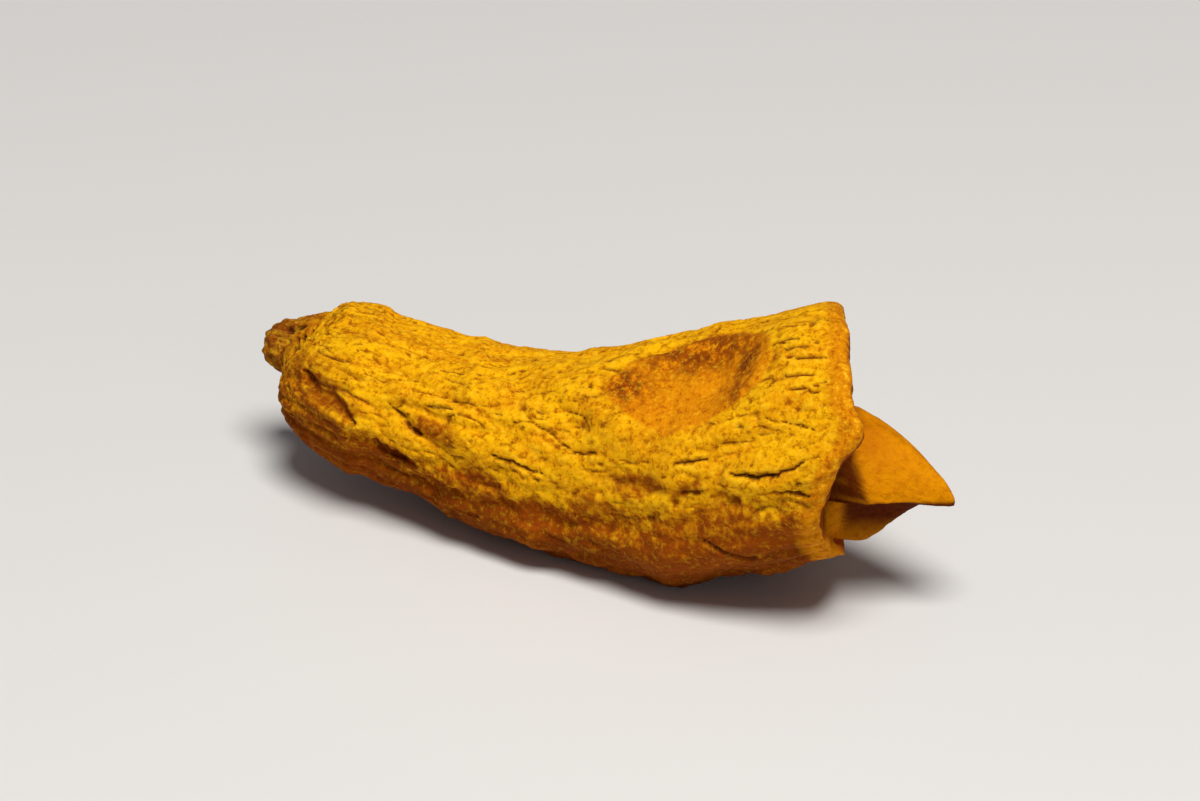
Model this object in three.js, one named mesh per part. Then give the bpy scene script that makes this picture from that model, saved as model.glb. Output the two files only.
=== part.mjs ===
// A dried turmeric finger: one rhizome, grown in one piece, lying on its belly.
// Millimetres, +Z up. X runs from the growing tip at -X to the broken end at +X, and -Y is the side with the
// shoot scar. The origin is on the surface that the root lies on, under the middle of its length and width.
import * as THREE from "three";

// Driving dimensions.
const TIP_X = -23.9; // blunt growing tip, without its bud
const CAP_LENGTH = 6.4; // length over which the tip rounds off
const BREAK_X = 17.4; // where the skin ends at the broken end, on the centre line
const BREAK_SKEW = 0.466; // the break runs askew: X lost for each millimetre towards +Y
const GIRTH = 7.5; // radius at which patterns are measured round the root
const MIDDLE = new THREE.Vector3(-0.27, 0.38, 0.4); // becomes the origin: the middle, at the belly's height

// The root from tip to break: x, half thickness r, height z and sideways shift y of the section's centre.
const SECTIONS = [
  { x: -24.4, r: 5.0, z: 7.0, y: 0.5 },
  { x: -19.6, r: 5.3, z: 7.7, y: 0.35 },
  { x: -15.1, r: 5.6, z: 7.6, y: 0.0 },
  { x: -10.5, r: 6.0, z: 7.2, y: -0.35 },
  { x: -5.9, r: 6.5, z: 6.9, y: -0.5 },
  { x: -1.4, r: 7.1, z: 7.1, y: -0.35 },
  { x: 3.2, r: 8.1, z: 7.7, y: 0.0 },
  { x: 7.8, r: 8.8, z: 8.5, y: 0.2 },
  { x: 12.3, r: 9.0, z: 10.1, y: 0.1 },
  { x: 16.9, r: 8.9, z: 11.8, y: 0.0 },
  { x: 21.5, r: 8.7, z: 13.4, y: 0.0 },
];

// Round buds, each part of a ball: the one that crowns the tip, and a sleeping one on the far side, which
// swells out from a point inside the root.
const TIP_BUD = { x: -24.15, y: 2.0, z: 8.85, radius: 1.9, foot: 2.2, rise: 0.35 };
const SIDE_BUD = { at: [-3.6, 5.0, 9.2], radius: 2.1, from: [-3.6, 3.6, 8.6] };

// Swellings and dents of the skin: place along x, angle round the root from +Y towards +Z, length along x,
// width round the root, and height, which is negative for a dent.
const SWELLINGS = [
  { x: -20.2, angle: 68, length: 1.7, width: 3.2, height: 0.65 },
  { x: -20.9, angle: 158, length: 1.6, width: 2.2, height: -0.5 },
  { x: -16.8, angle: 165, length: 2.4, width: 3.0, height: 0.4 },
  { x: -11.0, angle: 200, length: 4.5, width: 1.5, height: -0.45 },
  { x: -3.5, angle: 212, length: 5.5, width: 1.4, height: 0.45 },
  { x: 5.0, angle: 188, length: 5.5, width: 1.2, height: -0.45 },
  { x: 9.5, angle: 170, length: 4.5, width: 1.5, height: 0.35 },
  { x: 12.0, angle: 208, length: 5.0, width: 1.5, height: 0.45 },
  { x: 13.0, angle: 235, length: 4.0, width: 1.5, height: -0.4 },
  { x: 15.0, angle: 95, length: 2.2, width: 6.0, height: 0.35 },
  { x: -8.0, angle: 75, length: 5.0, width: 4.0, height: -0.5 },
  { x: 0.5, angle: 335, length: 6.0, width: 2.0, height: 0.6 },
  { x: 9.5, angle: 25, length: 4.5, width: 3.0, height: 0.7 },
  { x: -13.0, angle: 355, length: 4.5, width: 3.0, height: -0.5 },
  { x: 5.0, angle: 305, length: 4.5, width: 2.0, height: -0.5 },
];

// Leaf-scale rings: low ridges right round the root, each tilted to it.
const RINGS = [
  { x: -17.6, tilt: 1.6, height: 0.35, width: 1.0 },
  { x: -9.8, tilt: 2.2, height: 0.2, width: 0.9 },
  { x: -1.6, tilt: -1.4, height: 0.18, width: 1.0 },
  { x: 7.4, tilt: 1.2, height: 0.15, width: 1.0 },
];

// Oval dish where a side shoot broke off, high on the near side.
const SCAR = { x: 7.9, angle: 117, halfLength: 6.3, halfWidth: 4.1, depth: 1.35, lip: 0.22 };

// Broken end, measured from its centre: a round core stands proud of the skin. It is snapped off to a point,
// where a flat face and a round one meet in a curved ridge, and it is undercut below that point.
const CORE = { y: 0.0, z: -3.1, radius: 4.5, wall: 0.35, nearLoss: 2.0 };
const CORE_RIDGE = { start: 5.45, slope: -1.76, curve: -0.265, blunt: 1.2 };
const CORE_SIDES = { near: 2.4, far: -0.9, round: -0.15 };
const CORE_SHELF = { drop: 1.7, undercut: 6, slope: 1.2 };
const GAP_DEPTH = 2.4; // of the split between core and skin on the near side

// The skin turns in round the break: over this length, and by this much at the top and at the bottom.
const EDGE = { length: 1.3, topInset: 0.85, lowInset: 0.25 };

// Wrinkles that drying left along the root, and its broader lumps.
const WRINKLE = { width: 2.6, length: 9.0, depth: 0.5, sway: 1.2, sharpness: 2.0 };
const LUMP = { size: 5.0, height: 0.5 };

// Fineness of the solid: rows from the tip's pole to the core's, and columns round the root.
const COLUMNS = 72;
const BUD_ROWS = 4;
const NECK_ROWS = 3;
const CAP_ROWS = 9;
const BODY_ROWS = 49;
const EDGE_ROWS = 3;
const GAP_ROWS = 7;
const CORE_ROWS = 7;

const NECK_END = BUD_ROWS + NECK_ROWS;
const CAP_END = NECK_END + CAP_ROWS;
const BODY_END = CAP_END + BODY_ROWS;
const EDGE_END = BODY_END + EDGE_ROWS;
const ROWS = EDGE_END + GAP_ROWS + CORE_ROWS;
const FILLET = 0.3; // share of the way down the cap that the bud's fillet takes
const CAP_X = TIP_X + CAP_LENGTH;
const { clamp, degToRad, lerp, smoothstep } = THREE.MathUtils;
const fract = (v) => v - Math.floor(v);
const bell = (v) => Math.exp(-v * v);

// Gradient noise from -1 to 1 on a lattice of one unit, the same on every machine.
function noise(x, y, z) {
  const [i, j, k] = [x, y, z].map(Math.floor);
  const scatter = (a, b, c, salt) =>
    2 * fract(Math.sin(a * 127.1 + b * 311.7 + c * 74.7 + salt * 19.19) * 43758.5453) - 1;
  const fade = (v) => v * v * v * (v * (v * 6 - 15) + 10);
  const [u, v, w] = [x - i, y - j, z - k].map(fade);
  const corner = (a, b, c) =>
    scatter(a, b, c, 0) * (x - a) +
    scatter(a, b, c, 1) * (y - b) +
    scatter(a, b, c, 2) * (z - c);
  const edge = (b, c) => lerp(corner(i, b, c), corner(i + 1, b, c), u);
  const face = (c) => lerp(edge(j, c), edge(j + 1, c), v);
  return lerp(face(k), face(k + 1), w);
}

// The sections joined by one smooth curve, read at any x.
function section(x) {
  const last = SECTIONS.length - 1;
  let n = 0;
  while (n < last - 1 && x > SECTIONS[n + 1].x) n += 1;
  const [a, b] = [SECTIONS[n], SECTIONS[n + 1]];
  const [before, after] = [SECTIONS[Math.max(n - 1, 0)], SECTIONS[Math.min(n + 2, last)]];
  const t = (x - a.x) / (b.x - a.x);
  const blend = (key) => {
    const startSlope = (b[key] - before[key]) / 2;
    const endSlope = (after[key] - a[key]) / 2;
    return (
      (2 * t ** 3 - 3 * t ** 2 + 1) * a[key] +
      (t ** 3 - 2 * t ** 2 + t) * startSlope +
      (3 * t ** 2 - 2 * t ** 3) * b[key] +
      (t ** 3 - t ** 2) * endSlope
    );
  };
  return { r: blend("r"), z: blend("z"), y: blend("y") };
}

// Signed way round the root from one angle to another, in radians.
function turn(angle, degrees) {
  const d = angle - degToRad(degrees);
  return Math.atan2(Math.sin(d), Math.cos(d));
}

// The dish of the broken-off shoot: narrower towards the tip, deepest towards the break, and with a low lip.
function scarDish(x, angle) {
  const along = (x - SCAR.x) / SCAR.halfLength;
  const taper = 1 - 0.35 * clamp(-along, 0, 1);
  const across = (turn(angle, SCAR.angle) * GIRTH) / (SCAR.halfWidth * taper);
  const rho = Math.hypot(along, across);
  const hollow = smoothstep(1.04 - rho, 0, 0.75) * (1 + 0.35 * along - 0.2 * across);
  return SCAR.lip * bell((rho - 1.25) / 0.3) - SCAR.depth * hollow;
}

// Creases run along the root and sway a little: 0 between them and 1 at their bottom.
function crease(x, angle) {
  const [y, z] = [GIRTH * Math.cos(angle), GIRTH * Math.sin(angle)];
  const sway = WRINKLE.sway * noise(x / 9, y / 6, z / 6);
  const fold = noise(x / WRINKLE.length + 3, (y + sway) / WRINKLE.width, (z - sway) / WRINKLE.width);
  return clamp(1 - WRINKLE.sharpness * Math.abs(fold), 0, 1) ** 2;
}

// How far the skin stands out from the plain round section.
function relief(x, angle) {
  let out = 0;
  for (const s of SWELLINGS) {
    const across = (turn(angle, s.angle) * GIRTH) / s.width;
    out += s.height * bell(Math.hypot((x - s.x) / s.length, across));
  }
  for (const ring of RINGS) {
    const at = ring.x + ring.tilt * Math.cos(angle - degToRad(150));
    out += ring.height * bell((x - at) / ring.width);
  }
  const dish = scarDish(x, angle);
  const calm = smoothstep(dish, -0.4, 0);
  const strength = 0.75 + 0.25 * Math.cos(angle - degToRad(225));
  const round = GIRTH / LUMP.size;
  const lump = noise(x / LUMP.size, round * Math.cos(angle), round * Math.sin(angle));
  out += calm * (LUMP.height * lump - WRINKLE.depth * strength * crease(x, angle));
  return out + dish;
}

// A point of the skin at x and angle. scale is below 1 only on the rounded tip.
function skin(x, angle, scale) {
  const s = section(x);
  const facets = 1 + 0.035 * Math.cos(2 * angle - degToRad(60)) + 0.03 * Math.cos(3 * angle + x / 9);
  const reach = scale * (s.r * facets + relief(x, angle));
  return new THREE.Vector3(x, s.y + reach * Math.cos(angle), s.z + reach * Math.sin(angle));
}

// The x at which the skin stops at the break: askew, chipped, bitten away low on the near side, and with a
// tongue that runs out along the core.
function rimX(angle) {
  const s = section(BREAK_X);
  const y = s.y + s.r * Math.cos(angle);
  const chips = 0.4 * noise(3 * Math.cos(angle), 3 * Math.sin(angle), 5);
  const bite = -1.5 * bell(turn(angle, 205) / 0.5);
  const tongue = 1.0 * bell(turn(angle, 158) / 0.22);
  const worn = 0.3 - 0.9 * bell(turn(angle, 185) / 0.8);
  return BREAK_X - BREAK_SKEW * y + chips + bite + tongue + worn;
}

// The skin's edge at the break, rounded inwards as share goes from 0 to 1.
function skinEdge(share, angle) {
  const bend = (share * Math.PI) / 2;
  const p = skin(rimX(angle) - EDGE.length * (1 - Math.sin(bend)), angle, 1);
  const low = smoothstep(-Math.sin(angle), 0, 0.9);
  const inset = lerp(EDGE.topInset, EDGE.lowInset, low) * (1 - Math.cos(bend));
  p.y -= inset * Math.cos(angle);
  p.z -= inset * Math.sin(angle);
  return p;
}

// The core's half thickness in each direction from its middle. It isn't quite round, and its near side is
// split away.
function coreRadius(way, span) {
  const uneven = 0.14 * noise(1.6 * Math.cos(way), 1.6 * Math.sin(way), 7.5);
  const radius = CORE.radius * (1 + 0.05 * Math.cos(2 * way - 1) + uneven);
  return Math.min(radius - CORE.nearLoss * bell(turn(way, 180) / 0.75), span - 1);
}

// How far the snapped core stands out. y and z are from the centre of the broken face. Two faces meet in a
// blunt ridge, and both are shelly.
function coreFace(y, z) {
  const near = CORE_SIDES.near * y;
  const far = CORE_SIDES.far * y + CORE_SIDES.round * y * y;
  const blunt = clamp(1 - Math.abs(near - far) / CORE_RIDGE.blunt, 0, 1);
  const shells = 0.5 * noise(y / 2.6, z / 2.6, 6.5) + 0.2 * noise(y / 1.2, z / 1.2, 3.5);
  const side = Math.min(near, far) - (blunt * blunt * CORE_RIDGE.blunt) / 4 + shells;
  const above = Math.max(z, CORE.z);
  const ridge = CORE_RIDGE.start + CORE_RIDGE.slope * above + CORE_RIDGE.curve * above * above;
  const below = Math.min(z - CORE.z, 0);
  const cut = Math.max(CORE_SHELF.undercut * below, CORE_SHELF.slope * below - CORE_SHELF.drop);
  return ridge + side + (below < 0 ? cut : 0);
}

// How far the broken face stands out past the plane of the break. inward is 0 at the skin and 1 well inside,
// and radius is the core's in that direction.
function fracture(y, z, inward, radius) {
  const off = Math.hypot(y - CORE.y, z - CORE.z);
  const grain = 0.3 * noise(y / 1.8, z / 1.8, 11) + 0.3 * noise(y / 4, z / 4, 2);
  const gap = -GAP_DEPTH * bell((off - radius - 1) / 1.2) * smoothstep(-y, -2, 3);
  const bed = (grain + gap) * inward;
  return off > radius + 0.5 * CORE.wall ? bed : Math.max(bed, coreFace(y, z) + 0.3 * grain);
}

// The side bud stands out of the skin as part of a ball.
function swellBud(p) {
  const from = new THREE.Vector3(...SIDE_BUD.from);
  const ray = new THREE.Ray(from, p.clone().sub(from).normalize());
  const ball = new THREE.Sphere(new THREE.Vector3(...SIDE_BUD.at), SIDE_BUD.radius);
  const hit = ray.intersectSphere(ball, new THREE.Vector3());
  return hit.distanceTo(from) > p.distanceTo(from) ? hit : p;
}

// A point of the rounded tip, on a line from the foot of its bud (share 0) to where the cap ends (share 1).
// The foot is a little wider and higher than the bud.
function cap(share, angle) {
  const centre = section(CAP_X);
  const edge = skin(CAP_X, angle, 1);
  const y = lerp(TIP_BUD.y + TIP_BUD.foot * Math.cos(angle), edge.y, share);
  const z = lerp(TIP_BUD.z + TIP_BUD.rise + TIP_BUD.foot * Math.sin(angle), edge.z, share);
  const around = Math.atan2(z - centre.z, y - centre.y);
  const full = skin(CAP_X, around, 1);
  const reach = Math.hypot(full.y - centre.y, full.z - centre.z);
  const scale = Math.min(Math.hypot(y - centre.y, z - centre.z) / reach, 1);
  return skin(CAP_X - CAP_LENGTH * Math.sqrt(1 - scale * scale), around, scale);
}

// The bud on the tip is half a ball. Its foot is sunk in the cap.
function tipBud(share, angle) {
  const bend = (share * Math.PI) / 2;
  const dimple = 1 + 0.12 * noise(2 * bend, 2 * Math.cos(angle) * bend, 2 * Math.sin(angle) * bend);
  const radius = TIP_BUD.radius * dimple;
  const x = TIP_BUD.x - radius * Math.cos(bend);
  const y = TIP_BUD.y + radius * Math.sin(bend) * Math.cos(angle);
  const z = TIP_BUD.z + radius * Math.sin(bend) * Math.sin(angle);
  return new THREE.Vector3(x, y, z);
}

// The fillet between the bud's widest ring (share 0) and the cap (share 1). It is fuller on top.
function neck(share, angle) {
  const start = tipBud(1, angle);
  const foot = cap(0, angle);
  const end = cap(FILLET, angle);
  foot.z += 0.8 * smoothstep(Math.sin(angle), 0, 1);
  return start.lerp(foot, share).lerp(foot.lerp(end, share), share);
}

// A point of the broken end, in rows from the core's middle (row 0) out to the skin's edge. The core's wall
// falls between two rows, and the core bends a little.
function brokenEnd(row, angle) {
  const edge = skinEdge(1, angle);
  const centre = section(BREAK_X);
  const [poleY, poleZ] = [centre.y + CORE.y, centre.z + CORE.z];
  const span = Math.hypot(edge.y - poleY, edge.z - poleZ);
  const radius = coreRadius(Math.atan2(edge.z - poleZ, edge.y - poleY), span);
  const foot = radius + CORE.wall;
  const out = row - CORE_ROWS;
  const off = out <= 0 ? (radius * row) / CORE_ROWS : lerp(foot, span, (out - 1) / (GAP_ROWS - 1));
  const y = lerp(poleY, edge.y, off / span);
  const z = lerp(poleZ, edge.z, off / span);
  const inward = 1 - smoothstep(off / span, 0.8, 1);
  const chip = (edge.x - (BREAK_X - BREAK_SKEW * edge.y)) * smoothstep(off / span, 0.3, 0.95);
  const x = BREAK_X - BREAK_SKEW * y + chip + fracture(y - centre.y, z - centre.z, inward, radius);
  const loose = 1 - smoothstep(off, radius, radius + 1.5);
  const bentY = y + 0.9 * loose * noise((z - centre.z) / 2.6, 4.5, 1.5);
  const bentZ = z + 0.7 * loose * noise((y - centre.y) / 1.9, 2.5, 8.5);
  return new THREE.Vector3(x, bentY, bentZ);
}

// The surface at a row from the bud's pole (0) to the core's (ROWS), and at an angle.
function surface(row, angle) {
  if (row < BUD_ROWS) return tipBud(row / BUD_ROWS, angle);
  if (row < NECK_END) return neck((row - BUD_ROWS) / NECK_ROWS, angle);
  if (row < CAP_END) return cap(lerp(FILLET, 1, (row - NECK_END) / CAP_ROWS), angle);
  if (row > EDGE_END) return brokenEnd(ROWS - row, angle);
  if (row > BODY_END) return skinEdge((row - BODY_END) / EDGE_ROWS, angle);
  const x = lerp(CAP_X, rimX(angle) - EDGE.length, (row - CAP_END) / BODY_ROWS);
  return swellBud(skin(x, angle, 1));
}

// A ball's grid of points, drawn out to the root's surface. The belly is flat where it lies.
function rootGeometry() {
  const geometry = new THREE.SphereGeometry(1, COLUMNS, ROWS);
  const { position, uv } = geometry.attributes;
  for (let n = 0; n < position.count; n += 1) {
    const row = Math.round((1 - uv.getY(n)) * ROWS);
    const onPole = row === 0 || row === ROWS;
    const angle = onPole ? 0 : Math.atan2(position.getZ(n), position.getX(n));
    const p = surface(row, angle).sub(MIDDLE);
    position.setXYZ(n, p.x, p.y, Math.max(p.z, 0));
  }
  geometry.computeVertexNormals();
  return geometry;
}

const driedSkin = new THREE.MeshStandardMaterial({ color: 0xd9930f, roughness: 0.9, metalness: 0 });
const root = new THREE.Mesh(rootGeometry(), driedSkin);
root.name = "turmeric_root";

const part = new THREE.Group();
part.add(root);

export default part;
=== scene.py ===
# A dried turmeric finger: the fine skin, cracks and colours of the root, made round its CAD solid.
import math
import random

import bmesh
import bpy
import numpy as np
from bpy.props import FloatProperty, FloatVectorProperty, PointerProperty
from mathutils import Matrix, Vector


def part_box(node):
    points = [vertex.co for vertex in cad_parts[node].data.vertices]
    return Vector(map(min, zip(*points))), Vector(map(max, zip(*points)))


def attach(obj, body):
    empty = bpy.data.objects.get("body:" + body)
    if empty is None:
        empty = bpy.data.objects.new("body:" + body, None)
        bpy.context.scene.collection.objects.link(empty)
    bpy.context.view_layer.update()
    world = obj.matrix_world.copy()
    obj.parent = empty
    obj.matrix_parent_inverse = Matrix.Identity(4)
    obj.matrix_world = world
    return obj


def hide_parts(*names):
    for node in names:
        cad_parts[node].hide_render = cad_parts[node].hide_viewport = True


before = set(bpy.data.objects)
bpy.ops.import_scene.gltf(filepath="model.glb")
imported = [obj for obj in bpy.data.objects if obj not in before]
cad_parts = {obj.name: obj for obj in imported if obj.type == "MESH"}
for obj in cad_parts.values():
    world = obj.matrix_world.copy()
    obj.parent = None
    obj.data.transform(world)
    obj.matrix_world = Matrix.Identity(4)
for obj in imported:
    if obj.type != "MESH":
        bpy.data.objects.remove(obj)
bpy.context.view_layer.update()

bl_info = {
    "name": "Dried turmeric finger",
    "version": (1, 0, 0),
    "blender": (4, 5, 0),
    "location": "3D View > Sidebar > Turmeric",
    "description": "Grows the wrinkled skin and the snapped end of a dried turmeric finger",
    "category": "Add Mesh",
}

# Shapes are worked out in millimetres and written to the mesh in metres.
MM = 0.001

# The form of the root, as the solid has it. GIRTH is its mean half thickness, by which patterns are laid
# round it. The origin of these sizes is moved to MIDDLE at the end.
TIP_X = -23.9
CAP_LENGTH = 6.4
BREAK_X = 17.4
BREAK_SKEW = 0.466
GIRTH = 7.5
MIDDLE = (-0.27, 0.38, 0.4)

# The root from tip to break: x, half thickness, height and sideways shift of the section's centre.
SECTIONS = np.array([
    (-24.4, 5.0, 7.0, 0.5),
    (-19.6, 5.3, 7.7, 0.35),
    (-15.1, 5.6, 7.6, 0.0),
    (-10.5, 6.0, 7.2, -0.35),
    (-5.9, 6.5, 6.9, -0.5),
    (-1.4, 7.1, 7.1, -0.35),
    (3.2, 8.1, 7.7, 0.0),
    (7.8, 8.8, 8.5, 0.2),
    (12.3, 9.0, 10.1, 0.1),
    (16.9, 8.9, 11.8, 0.0),
    (21.5, 8.7, 13.4, 0.0),
])

# The bud on the tip: centre, radius, and its foot, which is a little wider and higher.
TIP_BUD = (-24.15, 2.0, 8.85)
BUD_RADIUS = 1.9
BUD_FOOT = 2.2
BUD_RISE = 0.35

# The sleeping bud on the far side: centre, radius, and the point inside the root that it swells from.
SIDE_BUD = (-3.6, 5.0, 9.2)
SIDE_BUD_RADIUS = 2.1
SIDE_BUD_FROM = (-3.6, 3.6, 8.6)

# Swellings and dents: x, angle round the root, length, width and height.
SWELLINGS = (
    (-20.2, 68, 1.7, 3.2, 0.65),
    (-20.9, 158, 1.6, 2.2, -0.5),
    (-16.8, 165, 2.4, 3.0, 0.4),
    (-11.0, 200, 4.5, 1.5, -0.45),
    (-3.5, 212, 5.5, 1.4, 0.45),
    (5.0, 188, 5.5, 1.2, -0.45),
    (9.5, 170, 4.5, 1.5, 0.35),
    (12.0, 208, 5.0, 1.5, 0.45),
    (13.0, 235, 4.0, 1.5, -0.4),
    (15.0, 95, 2.2, 6.0, 0.35),
    (-8.0, 75, 5.0, 4.0, -0.5),
    (0.5, 335, 6.0, 2.0, 0.6),
    (9.5, 25, 4.5, 3.0, 0.7),
    (-13.0, 355, 4.5, 3.0, -0.5),
    (5.0, 305, 4.5, 2.0, -0.5),
)

# The angle of the near flank, where the creases are deepest, and the angle that the rings lean to.
FLANK_ANGLE = 225
RING_LEAN = 150

# Leaf-scale rings: x, tilt, height and width.
RINGS = (
    (-17.6, 1.6, 0.35, 1.0),
    (-9.8, 2.2, 0.2, 0.9),
    (-1.6, -1.4, 0.18, 1.0),
    (7.4, 1.2, 0.15, 1.0),
)

# The dish of the broken-off shoot.
SCAR_X = 7.9
SCAR_ANGLE = 117
SCAR_HALF_LENGTH = 6.3
SCAR_HALF_WIDTH = 4.1
SCAR_DEPTH = 1.35
SCAR_LIP = 0.22

# The snapped core, measured from the centre of the broken face.
CORE_Z = -3.1
CORE_RADIUS = 4.5
CORE_NEAR_LOSS = 2.0
CORE_WALL = 0.35
RIDGE_START = 5.45
RIDGE_SLOPE = -1.76
RIDGE_CURVE = -0.265
RIDGE_NEAR = 2.4
RIDGE_FAR = -0.9
RIDGE_ROUND = -0.15
RIDGE_BLUNT = 1.2
SHELF_DROP = 1.7
SHELF_UNDERCUT = 6
SHELF_SLOPE = 1.2
GAP_DEPTH = 2.4
BED_GRAIN = 0.3

# The skin's edge at the break: how far it stands out all round, the height of its chips, and its bites and
# tongue. Each of these has an angle, a width in radians and a height, which is below 0 for a bite.
RIM_STAND = 0.3
RIM_CHIPS = 0.4
RIM_MARKS = (
    (205, 0.5, -1.5),
    (158, 0.22, 1.0),
    (185, 0.8, -0.9),
)

# Coarse wrinkles and lumps, which the solid has too.
WRINKLE_WIDTH = 2.6
WRINKLE_LENGTH = 9.0
WRINKLE_DEPTH = 0.5
WRINKLE_SWAY = 1.2
WRINKLE_SHARPNESS = 2.0
LUMP_SIZE = 5.0
LUMP_HEIGHT = 0.5

# Rows of the grid from the bud's pole to the core's, and columns round the root.
COLUMNS = 320
BUD_ROWS = 18
NECK_ROWS = 12
CAP_ROWS = 34
BODY_ROWS = 196
EDGE_ROWS = 8
GAP_ROWS = 16
WALL_ROWS = 4
CORE_ROWS = 20
NECK_START = BUD_ROWS
CAP_START = NECK_START + NECK_ROWS
BODY_START = CAP_START + CAP_ROWS
EDGE_START = BODY_START + BODY_ROWS
EDGE_END = EDGE_START + EDGE_ROWS
WALL_START = EDGE_END + GAP_ROWS
CORE_START = WALL_START + WALL_ROWS
ROWS = CORE_START + CORE_ROWS
CAP_X = TIP_X + CAP_LENGTH

# The bud runs out into the cap in a fillet, which takes this share of the way down the cap.
FILLET = 0.3

# The skin's rounded edge at the break: its length, and how far it turns in at the top and at the bottom.
EDGE_LENGTH = 1.3
EDGE_INSET = (0.85, 0.25)

# Places on the skin are given by a distance along the root and an angle round it, which is 180 in front. Past
# the cap's end the distances are the tip's own: over the cap, at the bud's widest ring and on its pole.
CAP_SPREAD = 7
BUD_PLACE = -25.5
POLE_PLACE = -28

# Half thickness of the cap where the bud's fillet ends, by which patterns are laid round it.
CAP_FOOT_GIRTH = 4

# Cracks that show in the photo: place, length, half width, how much they slant, and depth.
CRACKS = (
    (-2.9, 166, 3.8, 0.11, 0.16, 0.7),
    (-0.5, 148.5, 3.8, 0.08, 0.6, 0.5),
    (2.0, 155.5, 2.2, 0.09, 0.0, 0.6),
    (10.1, 160, 2.6, 0.11, 0.0, 0.8),
    (14.8, 170, 3.8, 0.12, 0.16, 1.0),
    (17.4, 170, 2.8, 0.1, -0.27, 0.8),
    (10.5, 174, 1.6, 0.1, 0.0, 0.6),
    (16.7, 148.5, 4.0, 0.07, 0.25, 0.5),
    (13.0, 205, 3.4, 0.12, 0.7, 0.8),
    (18.0, 183, 2.0, 0.11, 0.2, 0.7),
    (14.5, 99, 2.8, 0.07, 0.18, 0.5),
    (14.6, 108, 2.4, 0.07, 0.0, 0.6),
    (15.2, 112, 2.0, 0.07, 0.1, 0.5),
    (16.6, 118, 3.4, 0.07, 0.1, 0.6),
    (16.4, 126, 2.6, 0.08, 0.05, 0.6),
    (17.3, 134, 2.6, 0.08, 0.1, 0.6),
    (-9.4, 143, 2.2, 0.18, -0.2, 0.6),
    (-12.7, 155, 1.3, 0.15, 0.6, 0.6),
    (-11.1, 163, 1.4, 0.15, 0.5, 0.6),
    (-24.9, 125, 0.8, 0.22, 0.3, 0.9),
    (-24.2, 114, 0.7, 0.2, 0.0, 0.8),
    (-23.4, 137, 0.9, 0.2, 0.3, 0.9),
    (-23.2, 124, 0.8, 0.22, -0.3, 0.8),
    (-22.9, 146, 0.9, 0.18, 0.2, 0.7),
    (-22.3, 113, 0.8, 0.18, 0.2, 0.7),
)

# Broader furrows and hollows, laid out like the cracks, with the depth in millimetres.
FURROWS = (
    (-17.2, 162, 3.8, 0.7, 0.7, 0.55),
    (-12.7, 187, 3.4, 0.9, 0.2, 0.35),
    (-6.2, 181, 4.0, 0.8, 0.1, 0.3),
    (-1.5, 196, 6.0, 0.9, 0.1, 0.3),
    (7.0, 171, 3.4, 0.5, 0.1, 0.15),
    (11.5, 181, 5.0, 0.8, 0.1, 0.3),
)

# Brown places: place, length, width and strength. They are partly the skin's own brown and partly painted
# shade along the furrows and on the lower flank.
STAINS_AND_SHADE = (
    (-24.0, 110, 2.2, 3.5, 0.7),
    (-20.3, 144, 1.7, 1.7, 0.5),
    (-18.6, 154, 1.9, 0.9, 1.0),
    (-17.0, 164, 1.9, 0.9, 1.0),
    (-19.4, 187, 3.6, 4.4, 0.85),
    (-17.5, 215, 4.0, 5.0, 0.7),
    (-12.7, 187, 1.8, 1.2, 1.0),
    (-9.3, 159, 2.2, 1.1, 0.85),
    (-6.2, 184, 3.0, 1.1, 0.95),
    (-1.6, 196, 4.5, 1.1, 0.9),
    (2.8, 184, 2.2, 0.8, 0.8),
    (5.9, 170, 2.6, 0.9, 0.85),
    (10.0, 173, 1.6, 0.5, 0.75),
    (12.4, 188, 2.6, 1.0, 0.9),
    (11.5, 200, 6.0, 2.2, 0.85),
    (16.2, 203, 2.4, 1.2, 0.8),
)

# Pads between the wrinkles, large, small and tiny: length along the root, and width across it.
PADS = (3.4, 1.7, 1.7)
SMALL_PADS = (1.7, 0.85, 0.85)
TINY_PADS = (0.8, 0.45, 0.45)

# Short cracks and round pits scattered over the skin: how many, the longest, and the greatest half width.
DASHES = (220, 2.0, 0.1)
PITS = (190, 0.7, 0.2)
SEED = 11

# Dark cork in the shoot scar: place along and across it, length, width and strength. Places and sizes are
# shares of the scar's half size.
SCAR_CORK = (
    (-0.72, 0.1, 0.32, 0.5, 1.0),
    (0.0, -0.62, 0.8, 0.36, 1.0),
    (0.62, -0.2, 0.14, 0.45, 1.0),
    (0.66, 0.3, 0.16, 0.5, 0.7),
)

# Lights, in metres: place and width. The sky adds a little cool light from all round.
KEY_LIGHT = ((0.14, -0.2, 0.56), 0.28)
FILL_LIGHT = ((0.5, -0.55, 0.3), 0.4)
SKY_COLOUR = (0.9, 0.92, 1, 1)
SKY_STRENGTH = 0.12


def linear(code):
    """An sRGB hex value as the linear colour that Blender's nodes take."""
    parts = [int(code[n:n + 2], 16) / 255 for n in (1, 3, 5)]
    return [v / 12.92 if v <= 0.04045 else ((v + 0.055) / 1.055) ** 2.4 for v in parts]


def colour(label, about, code):
    """A colour that a user can change."""
    return FloatVectorProperty(
        name=label, description=about, default=linear(code), size=3, subtype="COLOR", min=0, max=1
    )


def length(label, about, millimetres):
    """A length that a user can change."""
    return FloatProperty(name=label, description=about, default=millimetres * MM, unit="LENGTH")


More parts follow.
